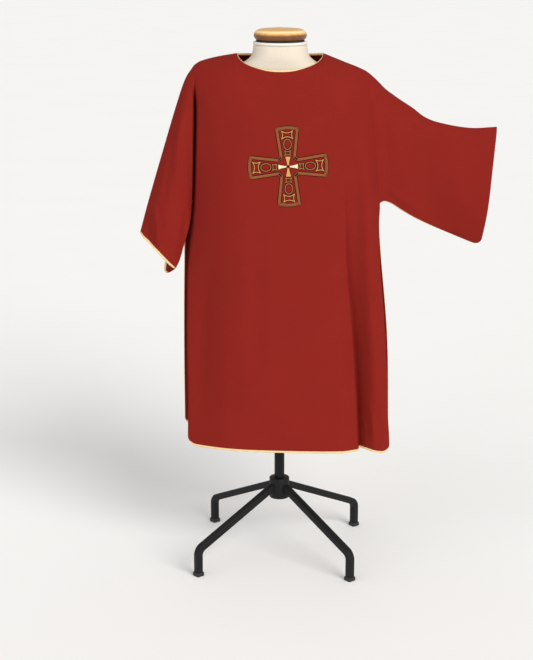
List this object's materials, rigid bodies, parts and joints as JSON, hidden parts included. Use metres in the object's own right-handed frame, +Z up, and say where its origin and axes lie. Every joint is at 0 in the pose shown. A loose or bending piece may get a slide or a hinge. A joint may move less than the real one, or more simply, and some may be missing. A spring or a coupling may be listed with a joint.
{
  "type": "dalmatic on a dress form stand",
  "caption": "Red dalmatic with gold piping, side slits and an embroidered cross, worn by a limbless padded dress form with a turned wooden neck cap on a four-legged metal stand.",
  "frame": {"origin": "on the floor, under the middle of the whole model's box", "axes": "+Z up, the garment's front faces -Y, the raised sleeve points to +X"},
  "size_m": [1.0376, 0.5128, 1.5765],
  "materials": {
    "red_cloth": "matte heavy plain weave in deep red",
    "gold_piping": "satin gold cord",
    "bronze_thread": "bronze satin stitch",
    "gold_thread": "pale gold satin stitch",
    "linen": "cream linen stretched over padding",
    "white_trim": "white cotton tape",
    "cap_wood": "turned honey wood, gloss varnish",
    "black_metal": "black satin paint on steel tube",
    "black_plastic": "black moulded plastic"
  },
  "bodies": {
    "root": {"back_edge_piping": "gold_piping", "back_panel": "red_cloth", "base_plate": "cap_wood", "cross_band": "bronze_thread", "cross_inner_spool_bottom": "bronze_thread", "cross_inner_spool_left": "bronze_thread", "cross_inner_spool_right": "bronze_thread", "cross_inner_spool_top": "bronze_thread", "cross_middle": "gold_thread", "cross_ring_bottom": "bronze_thread", "cross_ring_left": "bronze_thread", "cross_ring_right": "bronze_thread", "cross_ring_top": "bronze_thread", "cross_tip_spool_bottom": "bronze_thread", "cross_tip_spool_left": "bronze_thread", "cross_tip_spool_right": "bronze_thread", "cross_tip_spool_top": "bronze_thread", "foot_left_back": "black_plastic", "foot_left_front": "black_plastic", "foot_right_back": "black_plastic", "foot_right_front": "black_plastic", "front_edge_piping": "gold_piping", "front_panel": "red_cloth", "hanging_sleeve": "red_cloth", "hanging_sleeve_piping": "gold_piping", "hub": "black_metal", "leg_left_back": "black_metal", "leg_left_front": "black_metal", "leg_right_back": "black_metal", "leg_right_front": "black_metal", "neck_cap": "cap_wood", "neck_piping": "gold_piping", "neck_plate": "black_plastic", "neck_trim": "white_trim", "pole": "black_metal", "raised_sleeve": "red_cloth", "raised_sleeve_piping": "gold_piping", "torso": "linen"}
  },
  "joints": []
}
